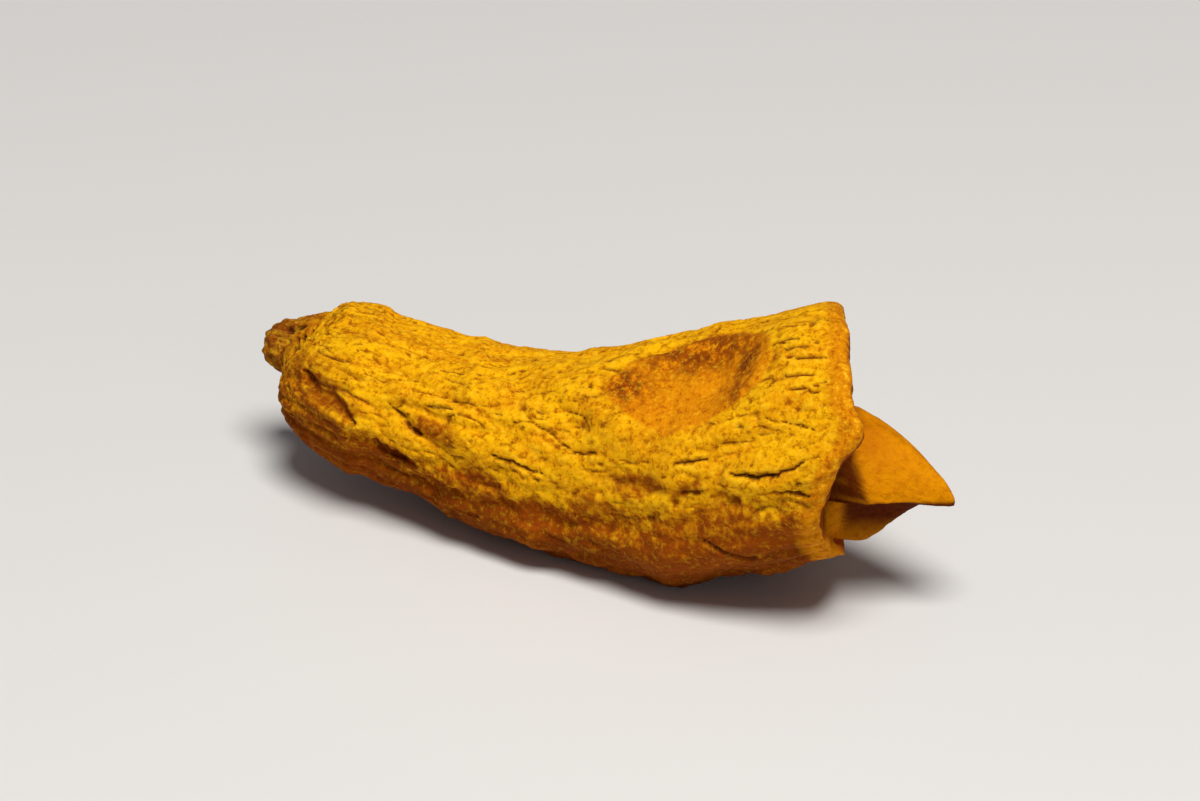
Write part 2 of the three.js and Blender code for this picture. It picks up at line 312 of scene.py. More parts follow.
class TurmericRelief(bpy.types.PropertyGroup):
    """Heights and depths of the fine relief."""

    lump: length("Lumps", "Height of the soft lumps", 0.35)
    pad: length("Pads", "Height of the pads between wrinkles", 0.2)
    small_pad: length("Small pads", "Height of the smaller pads", 0.1)
    crack: length("Cracks", "Depth of the named cracks", 0.4)
    dash: length("Dashes", "Depth of the short scattered cracks", 0.16)
    pit: length("Pits", "Depth of the round pits", 0.18)
    grain: length("Grain", "Height of the powdery grain", 0.09)
    scar_grain: length("Scar grain", "Height of the grains in the shoot scar", 0.09)
    striae: length("Striae", "Height of the fine lines that run in to the bud", 0.12)


class TurmericFinish(bpy.types.PropertyGroup):
    """Colours of the dried root."""

    # Pale and gold also paint light on the crowns, beside their patches, streaks and specks.
    pale: colour("Pale powder", "Thick powder on the finest crowns", "#F8BE1E")
    gold: colour("Gold skin", "Powdery skin on the crowns of the wrinkles", "#EEAC00")
    ochre: colour("Ochre skin", "Skin between the crowns", "#DC9000")
    # Rust and crevice are the skin's own brown in patches, specks and streaks, and painted shade in hollows,
    # underneath and in the break's gap.
    rust: colour("Rust skin", "Bare skin of hollows, stains and the underside", "#944200")
    crevice: colour("Crevice", "Skin down in the creases and under the belly", "#6E2C00")
    # Pit is painted shade at the bottoms of cracks and pits, and the darkest cork of the scar.
    pit: colour("Pit", "Bottom of cracks and pits", "#3F1A06")
    bud: colour("Bud", "Skin of the bud on the tip", "#A06210")
    scar: colour("Scar floor", "Smooth floor of the shoot scar", "#D27A00")
    scar_wall: colour("Scar wall", "Granular cork of the shoot scar and the break", "#823800")
    edge: colour("Edge", "Rounded edge of the skin at the break", "#CC7C00")
    bed: colour("Broken bed", "Grainy break round the core", "#B45800")
    core: colour("Core", "Waxy face of the snapped core", "#D28300")
    core_deep: colour("Core in depth", "Darker clouds of the snapped core", "#B26000")
    # Painted shade under the core's overhang and on its near wall.
    undercut_shade: colour("Undercut", "Stained flesh under the core's overhang", "#4E1600")


class TurmericStage(bpy.types.PropertyGroup):
    """Floor, light and camera."""

    floor_radius: length("Floor radius", "Half the width of the round floor", 1500)
    floor: colour("Floor", "Plain pale floor", "#D6D3CE")
    key_power: FloatProperty(
        name="Key", description="Power of the soft light overhead", default=4.4, unit="POWER"
    )
    fill_power: FloatProperty(
        name="Fill", description="Power of the front light", default=0.35, unit="POWER"
    )
    distance: length("Distance", "From the camera to the root", 588)
    azimuth: FloatProperty(
        name="Azimuth", description="Camera's turn round the root", default=math.radians(25), subtype="ANGLE"
    )
    elevation: FloatProperty(
        name="Elevation", description="Camera's angle over floor", default=math.radians(27), subtype="ANGLE"
    )
    lens: FloatProperty(name="Lens", description="Focal length", default=265, unit="CAMERA")


def bell(v):
    """A smooth bump: 1 at 0, and nearly 0 past 2."""
    return np.exp(-v * v)


def ease(v, low, high):
    """0 below low, 1 above high, and smooth between them."""
    t = np.clip((v - low) / (high - low), 0, 1)
    return t * t * (3 - 2 * t)


def mix(a, b, share):
    return a + (b - a) * share


def scatter(a, b, c, salt):
    """A number from -1 to 1 for each lattice point, the same in every run."""
    v = np.sin(a * 127.1 + b * 311.7 + c * 74.7 + salt * 19.19) * 43758.5453
    return 2 * (v - np.floor(v)) - 1


def noise(x, y, z):
    """Gradient noise from -1 to 1 on a lattice of one unit. A fixed number in a place picks a part of it."""
    x, y, z = np.broadcast_arrays(x, y, z)
    i, j, k = np.floor(x), np.floor(y), np.floor(z)

    def fade(v):
        return v * v * v * (v * (v * 6 - 15) + 10)

    def corner(a, b, c):
        run = scatter(a, b, c, 0) * (x - a) + scatter(a, b, c, 1) * (y - b)
        return run + scatter(a, b, c, 2) * (z - c)

    def edge(b, c):
        return mix(corner(i, b, c), corner(i + 1, b, c), fade(x - i))

    def face(c):
        return mix(edge(j, c), edge(j + 1, c), fade(y - j))

    return mix(face(k), face(k + 1), fade(z - k))


def section(x):
    """Half thickness, height and sideways shift of the root's section at x, on one smooth curve."""
    last = len(SECTIONS) - 1
    n = np.clip(np.searchsorted(SECTIONS[:, 0], x) - 1, 0, last - 1)
    a, b = SECTIONS[n], SECTIONS[n + 1]
    before, after = SECTIONS[np.maximum(n - 1, 0)], SECTIONS[np.minimum(n + 2, last)]
    t = ((x - a[..., 0]) / (b[..., 0] - a[..., 0]))[..., None]
    curve = (
        (2 * t**3 - 3 * t**2 + 1) * a
        + (t**3 - 2 * t**2 + t) * (b - before) / 2
        + (3 * t**2 - 2 * t**3) * b
        + (t**3 - t**2) * (after - a) / 2
    )
    return curve[..., 1], curve[..., 2], curve[..., 3]


def turn(angle, degrees):
    """Signed way round the root from one angle to another, in radians."""
    d = angle - math.radians(degrees)
    return np.arctan2(np.sin(d), np.cos(d))


def in_scar(x, angle):
    """Place in the shoot scar: along it, across it, and 1 on its edge."""
    along = (x - SCAR_X) / SCAR_HALF_LENGTH
    taper = 1 - 0.35 * np.clip(-along, 0, 1)
    across = turn(angle, SCAR_ANGLE) * GIRTH / (SCAR_HALF_WIDTH * taper)
    return along, across, np.hypot(along, across)


def scar_dish(x, angle):
    """The hollow of the shoot scar, with its raised lip."""
    along, across, rho = in_scar(x, angle)
    hollow = ease(1.04 - rho, 0, 0.75) * (1 + 0.35 * along - 0.2 * across)
    return SCAR_LIP * bell((rho - 1.25) / 0.3) - SCAR_DEPTH * hollow


def coarse_crease(x, angle):
    """The coarse wrinkles: 1 in a crease and 0 between them."""
    y, z = GIRTH * np.cos(angle), GIRTH * np.sin(angle)
    sway = WRINKLE_SWAY * noise(x / 9, y / 6, z / 6)
    fold = noise(x / WRINKLE_LENGTH + 3, (y + sway) / WRINKLE_WIDTH, (z - sway) / WRINKLE_WIDTH)
    return np.clip(1 - WRINKLE_SHARPNESS * np.abs(fold), 0, 1) ** 2


def relief(x, angle):
    """How far the skin stands out from the plain round section."""
    out = np.zeros(x.shape)
    for at, degrees, long, wide, height in SWELLINGS:
        out += height * bell(np.hypot((x - at) / long, turn(angle, degrees) * GIRTH / wide))
    for at, tilt, height, wide in RINGS:
        out += height * bell((x - at - tilt * np.cos(angle - math.radians(RING_LEAN))) / wide)
    dish = scar_dish(x, angle)
    calm = ease(dish, -0.4, 0)
    strength = 0.75 + 0.25 * np.cos(angle - math.radians(FLANK_ANGLE))
    round_root = GIRTH / LUMP_SIZE
    lump = noise(x / LUMP_SIZE, round_root * np.cos(angle), round_root * np.sin(angle))
    return out + dish + calm * (LUMP_HEIGHT * lump - WRINKLE_DEPTH * strength * coarse_crease(x, angle))


def skin(x, angle, scale):
    """Points of the skin. scale is below 1 only on the rounded tip."""
    r, z, y = section(x)
    facets = 1 + 0.035 * np.cos(2 * angle - math.radians(60)) + 0.03 * np.cos(3 * angle + x / 9)
    reach = scale * (r * facets + relief(x, angle))
    return np.stack([x, y + reach * np.cos(angle), z + reach * np.sin(angle)], -1)


def rim_x(angle):
    """The x at which the skin stops at the break."""
    r, _, middle = section(np.full(angle.shape, BREAK_X))
    stand = RIM_STAND + RIM_CHIPS * noise(3 * np.cos(angle), 3 * np.sin(angle), 5.0)
    for degrees, wide, height in RIM_MARKS:
        stand += height * bell(turn(angle, degrees) / wide)
    return BREAK_X - BREAK_SKEW * (middle + r * np.cos(angle)) + stand


def core_radius(way, span):
    """The core's half thickness in each direction from its middle. The near side is split away."""
    uneven = 0.14 * noise(1.6 * np.cos(way), 1.6 * np.sin(way), 7.5)
    radius = CORE_RADIUS * (1 + 0.05 * np.cos(2 * way - 1) + uneven)
    return np.minimum(radius - CORE_NEAR_LOSS * bell(turn(way, 180) / 0.75), span - 1)


def core_face(y, z):
    """How far the snapped core stands out of the break: two faces meet in a blunt, curved ridge."""
    near, far = RIDGE_NEAR * y, RIDGE_FAR * y + RIDGE_ROUND * y * y
    blunt = np.clip(1 - np.abs(near - far) / RIDGE_BLUNT, 0, 1)
    shells = 0.5 * noise(y / 2.6, z / 2.6, 6.5) + 0.2 * noise(y / 1.2, z / 1.2, 3.5)
    side = np.minimum(near, far) - blunt * blunt * RIDGE_BLUNT / 4 + shells
    above = np.maximum(z, CORE_Z)
    ridge = RIDGE_START + RIDGE_SLOPE * above + RIDGE_CURVE * above * above
    below = np.minimum(z - CORE_Z, 0)
    cut = np.maximum(SHELF_UNDERCUT * below, SHELF_SLOPE * below - SHELF_DROP)
    return ridge + side + np.where(below < 0, cut, 0)


def fracture(y, z, inward, radius):
    """How far the broken face stands out of the plane of the break. radius is the core's on that side."""
    off = np.hypot(y, z - CORE_Z)
    grain = BED_GRAIN * (noise(y / 1.8, z / 1.8, 11.0) + noise(y / 4, z / 4, 2.0))
    gap = -GAP_DEPTH * bell((off - radius - 1) / 1.2) * ease(-y, -2, 3)
    bed = (grain + gap) * inward
    peg = np.maximum(bed, core_face(y, z) + 0.3 * grain)
    return np.where(off > radius + 0.5 * CORE_WALL, bed, peg)


def swell_bud(points):
    """The side bud stands out of the skin as part of a ball."""
    start = np.array(SIDE_BUD_FROM)
    way = points - start
    far = np.linalg.norm(way, axis=-1, keepdims=True)
    way = way / far
    middle = np.array(SIDE_BUD) - start
    along = (way @ middle)[:, None]
    hit = along + np.sqrt(np.maximum(along**2 - middle @ middle + SIDE_BUD_RADIUS**2, 0))
    return start + way * np.maximum(far, hit)


def cap(share, angle):
    """The rounded tip, from the foot of its bud (share 0) to where the cap ends (share 1)."""
    cap_x = np.full(angle.shape, CAP_X)
    _, centre_z, centre_y = section(cap_x)
    edge = skin(cap_x, angle, 1)
    y = mix(TIP_BUD[1] + BUD_FOOT * np.cos(angle), edge[:, 1], share)
    z = mix(TIP_BUD[2] + BUD_RISE + BUD_FOOT * np.sin(angle), edge[:, 2], share)
    around = np.arctan2(z - centre_z, y - centre_y)
    full = skin(cap_x, around, 1)
    reach = np.hypot(full[:, 1] - centre_y, full[:, 2] - centre_z)
    scale = np.minimum(np.hypot(y - centre_y, z - centre_z) / reach, 1)
    return skin(CAP_X - CAP_LENGTH * np.sqrt(1 - scale * scale), around, scale)


def tip_bud(share, angle):
    """Half a ball, a little dimpled."""
    bend = share * math.pi / 2
    dimple = 1 + 0.12 * noise(2 * bend, 2 * np.cos(angle) * bend, 2 * np.sin(angle) * bend)
    out, up = BUD_RADIUS * np.cos(bend) * dimple, BUD_RADIUS * np.sin(bend) * dimple
    return np.stack([
        TIP_BUD[0] - out,
        TIP_BUD[1] + up * np.cos(angle),
        TIP_BUD[2] + up * np.sin(angle),
    ], -1)


def neck(share, angle):
    """The fillet between the bud's widest ring and the cap."""
    start, foot = tip_bud(np.ones(angle.shape), angle), cap(np.zeros(angle.shape), angle)
    end = cap(np.full(angle.shape, FILLET), angle)
    foot[:, 2] += 0.8 * ease(np.sin(angle), 0, 1)
    t = share[:, None]
    return mix(mix(start, foot, t), mix(foot, end, t), t)


def skin_edge(share, angle):
    """The rounded edge of the skin at the break."""
    bend = share * math.pi / 2
    x = rim_x(angle) - EDGE_LENGTH * (1 - np.sin(bend))
    inset = mix(EDGE_INSET[0], EDGE_INSET[1], ease(-np.sin(angle), 0, 0.9)) * (1 - np.cos(bend))
    points = skin(x, angle, 1)
    points[:, 1] -= inset * np.cos(angle)
    points[:, 2] -= inset * np.sin(angle)
    return points


def broken_end(off_share, wall_share, angle):
    """The break. off_share runs from the core's middle (0) to its edge (1) and on to the skin's edge (2).
    wall_share is 0 on the core's edge and 1 at the foot of its wall."""
    edge = skin_edge(np.ones(angle.shape), angle)
    _, centre_z, centre_y = section(np.full(angle.shape, BREAK_X))
    pole_y, pole_z = centre_y, centre_z + CORE_Z
    span = np.hypot(edge[:, 1] - pole_y, edge[:, 2] - pole_z)
    radius = core_radius(np.arctan2(edge[:, 2] - pole_z, edge[:, 1] - pole_y), span)
    foot = radius + CORE_WALL * wall_share
    off = np.where(off_share <= 1, radius * off_share, mix(foot, span, off_share - 1))
    out = off / span
    y, z = mix(pole_y, edge[:, 1], out), mix(pole_z, edge[:, 2], out)
    inward = 1 - ease(out, 0.8, 1)
    chip = (edge[:, 0] - (BREAK_X - BREAK_SKEW * edge[:, 1])) * ease(out, 0.3, 0.95)
    x = BREAK_X - BREAK_SKEW * y + chip + fracture(y - centre_y, z - centre_z, inward, radius)
    loose = 1 - ease(off, radius, radius + 1.5)
    bent_y = y + 0.9 * loose * noise((z - centre_z) / 2.6, 4.5, 1.5)
    bent_z = z + 0.7 * loose * noise((y - centre_y) / 1.9, 2.5, 8.5)
    return np.stack([x, bent_y, bent_z], -1)


def form(row, angle):
    """The root's form at each point of the grid, the place along its skin, and the skin's girth there."""
    points = np.zeros((len(row), 3))
    along = np.full(len(row), BREAK_X)
    girth = np.full(len(row), GIRTH)

    part = row < NECK_START
    share = row[part] / BUD_ROWS
    points[part] = tip_bud(share, angle[part])
    along[part] = mix(POLE_PLACE, BUD_PLACE, share)
    girth[part] = BUD_RADIUS * np.sin(share * math.pi / 2)

    part = (row >= NECK_START) & (row < CAP_START)
    share = (row[part] - NECK_START) / NECK_ROWS
    points[part] = neck(share, angle[part])
    along[part] = mix(BUD_PLACE, CAP_X - CAP_SPREAD * (1 - FILLET), share)
    girth[part] = mix(BUD_RADIUS, CAP_FOOT_GIRTH, share)

    part = (row >= CAP_START) & (row < BODY_START)
    share = mix(FILLET, 1, (row[part] - CAP_START) / CAP_ROWS)
    points[part] = cap(share, angle[part])
    along[part] = CAP_X - CAP_SPREAD * (1 - share)
    girth[part] = mix(CAP_FOOT_GIRTH, GIRTH, (share - FILLET) / (1 - FILLET))

    part = (row >= BODY_START) & (row < EDGE_START)
    end = rim_x(angle[part]) - EDGE_LENGTH
    along[part] = mix(CAP_X, end, (row[part] - BODY_START) / BODY_ROWS)
    points[part] = swell_bud(skin(along[part], angle[part], 1))

    part = (row >= EDGE_START) & (row <= EDGE_END)
    share = (row[part] - EDGE_START) / EDGE_ROWS
    points[part] = skin_edge(share, angle[part])
    along[part] = rim_x(angle[part]) - EDGE_LENGTH * (1 - share)

    part = row > EDGE_END
    inwards = ROWS - row[part]
    core_share = np.clip(inwards / CORE_ROWS, 0, 1)
    wall_share = np.clip((inwards - CORE_ROWS) / WALL_ROWS, 0, 1)
    gap_share = np.clip((inwards - CORE_ROWS - WALL_ROWS) / GAP_ROWS, 0, 1)
    off_share = np.where(core_share < 1, core_share, 1 + np.maximum(gap_share, 1e-6 * (wall_share > 0)))
    points[part] = broken_end(off_share, wall_share, angle[part])
    return points, along, girth


def carve(depth, along, angle, girth, mark, fray):
    """Cuts one mark into depth: a long hollow with pointed ends, whose path wanders by fray."""
    x, degrees, long, half_width, slant, deep = mark
    near = np.flatnonzero(np.abs(along - x) < long / 2)
    run = along[near] - x
    across = turn(angle[near], degrees) * girth[near]
    wander = 0.9 * noise(run / 1.3 + x, degrees * 0.37, 3.5) + 0.4 * noise(run / 0.45, degrees, x)
    path = slant * run + fray * wander
    width = half_width * np.sqrt(1 - (2 * run / long) ** 2) * (1 + 0.6 * noise(run / 0.6, x, degrees)) + 1e-4
    cut = deep * (1 - ease(np.abs(across - path) / width, 0.2, 1.7))
    depth[near] = np.maximum(depth[near], cut)


def scattered(draw, count, longest, widest):
    """Marks scattered over the whole skin."""
    for _ in range(count):
        long = draw.uniform(0.35, 1) * longest
        yield (
            draw.uniform(-24, BREAK_X + 4), draw.uniform(0, 360), long,
            draw.uniform(0.5, 1) * widest, draw.uniform(-0.3, 0.3), draw.uniform(0.3, 1),
        )


def pads(place, sizes, shift):
    """Rounded pads, from 0 in their creases to 1, and how near its crease each point is."""
    fold = np.abs(noise(*(place / sizes + shift).T))
    return np.clip(fold / 0.24, 0, 1) ** 0.6, np.clip(1 - fold / 0.06, 0, 1)


def skin_relief(row, column, points, along, angle, girth, look):
    """Fine relief of the skin in millimetres, and the masks that its finish reads."""
    place = np.stack([along, girth * np.cos(angle), girth * np.sin(angle)], -1)
    big = noise(*(place / (8, 5, 5)).T)
    middle = noise(*(place / (2.6, 1.7, 1.7) + 7).T)
    place = place + np.stack([0.8 * middle, 1.3 * big + 0.45 * middle, 0.45 * middle - 1.3 * big], -1)
    flank = 0.5 + 0.5 * np.cos(angle - math.radians(FLANK_ANGLE))
    blotch = ease(noise(*(place / (6, 4, 4) + 9).T), -0.3, 0.3)
    on_body = ease(along, -24, -14)
    bold = (0.4 + 0.6 * flank) * (0.45 + 0.55 * blotch) * (0.4 + 0.6 * on_body)
    _, across, rho = in_scar(along, angle)
    run = (along - SCAR_X) / SCAR_HALF_LENGTH
    scar = 1 - ease(rho + 0.08 * middle, 0.88, 0.96)

    pad, crease = pads(place, PADS, 0)
    small_pad, small_crease = pads(place, SMALL_PADS, 20)
    tiny_pad, _ = pads(place, TINY_PADS, 40)
    open_crease = crease * ease(noise(*(place / (5, 2.5, 2.5) + 50).T), 0.05, 0.35)
    open_small = small_crease * ease(noise(*(place / (3, 1.5, 1.5) + 60).T), 0.1, 0.4)
    height = look.pad * bold * (pad - 1) + look.small_pad * (0.5 + 0.5 * bold) * (small_pad - 1)
    height += 0.35 * look.small_pad * (tiny_pad - 1)
    striae = noise(along / 4, *(place[:, 1:] / 0.42).T) + 0.5 * noise(along / 2, *(place[:, 1:] / 0.25).T)
    height += look.striae * (1 - 0.75 * on_body) * striae

    draw = random.Random(SEED)
    cracks, dashes, pits, furrows = (np.zeros(len(along)) for _ in range(4))
    for mark in CRACKS:
        carve(cracks, along, angle, girth, mark, 0.35)
    for mark in scattered(draw, *DASHES):
        carve(dashes, along, angle, girth, mark, 0.35)
    for mark in scattered(draw, *PITS):
        carve(pits, along, angle, girth, mark, 0.1)
    for mark in FURROWS:
        carve(furrows, along, angle, girth, mark, 0.5)
    open_skin = np.maximum.reduce([
        cracks * look.crack,
        dashes * look.dash,
        pits * look.pit,
        open_crease * look.dash,
        open_small * look.pit / 2,
    ])
    grain = noise(*(points / 0.55).T) + 0.6 * noise(*(points / 0.3).T)
    knobs = noise(*(points / (0.75, 0.6, 0.6)).T)
    lump = noise(*(place / (2.8, 1.5, 1.5) + 30).T)
    height += look.lump * bold * lump + look.grain * grain - open_skin
    cork = look.scar_grain / MM * (knobs + 0.7 * grain)
    height = (1 - 0.92 * scar) * (height / MM - furrows) + scar * cork

    def hollowness(cells, depth):
        """For painted light and shade: from -1 on crowns to 1 in hollows, against the mean height of so many
        cells round each point.
        """
        grid = np.zeros((ROWS + 1, COLUMNS))
        grid[row, column] = height
        grid[0], grid[ROWS] = grid[0, 0], grid[ROWS, 0]
        wide = np.pad(grid, ((cells, cells), (0, 0)), "edge")
        wide = sum(np.roll(wide, n, 1) for n in range(-cells, cells + 1))
        mean = sum(wide[n:n + ROWS + 1] for n in range(2 * cells + 1)) / (2 * cells + 1) ** 2
        return np.clip((mean - grid) / depth, -1, 1)[row, column]

    # Brown patches with ragged edges, partly painted shade.
    stain_and_shade = np.zeros(len(along))
    ragged = 0.8 * noise(*(points / 1.2).T) + 0.6 * noise(*(points / 0.5).T)
    for x, degrees, long, wide, strength in STAINS_AND_SHADE:
        off = np.hypot((along - x) / long, turn(angle, degrees) * girth / wide)
        stain_and_shade = np.maximum(stain_and_shade, strength * (1 - ease(off + ragged, 0.5, 1.3)))

    scar_dark = np.zeros(len(along))
    for at, over, long, wide, strength in SCAR_CORK:
        off = np.hypot((run - at) / long, (across - over) / wide)
        scar_dark = np.maximum(scar_dark, strength * bell(off))

    bud = 1 - ease(along, BUD_PLACE, -23)
    # Painted shade over the lower half of the skin, ragged at its top edge and reaching higher towards the
    # tip.
    start = -0.15 - 0.15 * ease(-along, -4, 8)
    shaded_underside = ease(-np.sin(angle) + 0.25 * middle, start, 0.65) * (1 - bud)
    masks = {
        # Painted shade in cracks, pits and open creases, as deep as they are.
        "hollow": np.clip(open_skin / MM / 0.4, 0, 1) * (1 - scar),
        # Painted light and shade: paler on crowns and darker in hollows, at two widths.
        "fine_relief_shading": hollowness(2, 0.09),
        "broad_relief_shading": hollowness(7, 0.25),
        "stain_and_shade": stain_and_shade,
        "scar": scar,
        "scar_dark": scar * scar_dark,
        "shaded_underside": shaded_underside,
        # Skin with fewer powder specks: brown patches, the bud, the scar, and the painted shade underneath.
        "bare_and_shaded": np.maximum.reduce([shaded_underside, stain_and_shade, 0.6 * bud, 0.6 * scar]),
        "bud": bud,
        "streaks": mix(0.15, 1, 1 - ease(along, -21, -12)) * (1 - scar),
    }
    return height, place, masks


def flesh_masks(row, points):
    """Masks of the broken end: painted shade under the core and on its near wall, painted light in the recess
    beside it, and painted shade in the gap.
    """
    over = points[:, 2] - section(np.array([BREAK_X]))[1] - CORE_Z
    stand = points[:, 0] - (BREAK_X - BREAK_SKEW * points[:, 1])
    # Painted shade on the core's wall, where it stands little out of the break's plane.
    side = 1 - ease(stand - 0.35 * np.clip(3 - over, 0, 3), 0.6, 1.2)
    shade = np.maximum(ease(over, 1.1, 1.9), 1 - ease(stand, -1.4, -1.0))
    # Painted light in the recess beside the core's near side.
    recess_light = (1 - shade) * (1 - ease(stand, -0.3, 0.5)) * ease(-points[:, 1], 0.5, 1.5)
    # Painted shade under the core's overhang, fading lower down.
    undercut_shade = np.maximum(ease(-over, -0.25, 0.1) * (0.97 + 0.03 * ease(stand, 0, 1.5)), 0.96 * side)
    return {
        "undercut_shade": undercut_shade * (1 - recess_light) * (1 - 0.6 * ease(-over, 1.8, 3.6)),
        "recess_light": recess_light,
        # Painted shade in the gap between the skin's edge and the core.
        "gap": ease(row, EDGE_END - 1, EDGE_END + 2) * ease(-points[:, 1], 1, 4) * shade,
    }


def make_root(look, finish):
    """The whole root as one closed mesh, with its finish."""
    bm = bmesh.new()
    bmesh.ops.create_uvsphere(bm, u_segments=COLUMNS, v_segments=ROWS, radius=1)
    mesh = bpy.data.meshes.new("turmeric_skin")
    bm.to_mesh(mesh)
    bm.free()

    sphere = np.zeros(len(mesh.vertices) * 3, np.float32)
    mesh.vertices.foreach_get("co", sphere)
    sphere = sphere.reshape(-1, 3).astype(float)
    row = np.rint(np.arccos(np.clip(sphere[:, 2], -1, 1)) / math.pi * ROWS).astype(int)
    pole = (row == 0) | (row == ROWS)
    angle = np.where(pole, 0, np.arctan2(sphere[:, 1], sphere[:, 0]))
    column = np.rint(angle / (2 * math.pi) * COLUMNS).astype(int) % COLUMNS

    points, along, girth = form(row, angle)
    set_places(mesh, points)
    face_outwards(mesh)
    normals = np.zeros(len(mesh.vertices) * 3, np.float32)
    mesh.vertex_normals.foreach_get("vector", normals)
    normals = normals.reshape(-1, 3).astype(float)

    height, place, masks = skin_relief(row, column, points, along, angle, girth, look)
    on_skin = 1 - ease(row, EDGE_START, EDGE_END)
    on_core = ease(row, WALL_START, CORE_START)
    flesh_grain = 0.12 * noise(*(points / 0.6).T) + 0.07 * noise(*(points / 0.3).T)
    height = on_skin * height + (1 - on_skin) * (1 - 0.5 * on_core) * flesh_grain
    masks = {name: values * on_skin for name, values in masks.items()}
    masks["edge"] = ease(row, EDGE_START - 3, EDGE_START + 2)
    masks.update(flesh_masks(row, points))
    points += normals * height[:, None] - np.array(MIDDLE)
    points[:, 2] = np.maximum(points[:, 2], 0)
    set_places(mesh, points)

    for name, values in masks.items():
        mesh.attributes.new(name, "FLOAT", "POINT").data.foreach_set("value", values.astype(np.float32))
    lay = mesh.attributes.new("lay", "FLOAT_VECTOR", "POINT")
    lay.data.foreach_set("vector", (place * MM).astype(np.float32).ravel())

    for made in (dried_skin(finish), broken_bed(finish), snapped_core(finish)):
        mesh.materials.append(made)
    corners = np.zeros(len(mesh.loops), np.int32)
    mesh.loops.foreach_get("vertex_index", corners)
    starts = np.zeros(len(mesh.polygons), np.int32)
    mesh.polygons.foreach_get("loop_start", starts)
    face_row = np.minimum.reduceat(row[corners], starts)
    slots = np.where(face_row >= WALL_START, 2, np.where(face_row >= EDGE_END, 1, 0))
    mesh.polygons.foreach_set("material_index", slots.astype(np.int32))
    mesh.polygons.foreach_set("use_smooth", np.ones(len(mesh.polygons), bool))
    root = bpy.data.objects.new("turmeric_finger", mesh)
    bpy.context.scene.collection.objects.link(root)
    return root


def set_places(mesh, points):
    """Puts the mesh's vertices at points, which are in millimetres."""
    mesh.vertices.foreach_set("co", (points * MM).astype(np.float32).ravel())
    mesh.update()


def face_outwards(mesh):
    """Turns the faces outwards, because the grid can come out inside out."""
    bm = bmesh.new()
    bm.from_mesh(mesh)
    bmesh.ops.recalc_face_normals(bm, faces=bm.faces)
    bm.to_mesh(mesh)
    bm.free()


def node(tree, kind, settings=None, **links):
    """Adds a node with its settings. Each link names an input and gives its value or the output it takes."""
    made = tree.nodes.new(kind)
    for key, value in (settings or {}).items():
        setattr(made, key, value)
    for key, value in links.items():
        socket = made.inputs[int(key[1:]) if key[1:].isdigit() else key.replace("_", " ")]
        if isinstance(value, bpy.types.NodeSocket):
            tree.links.new(value, socket)
        else:
            socket.default_value = value
    return made


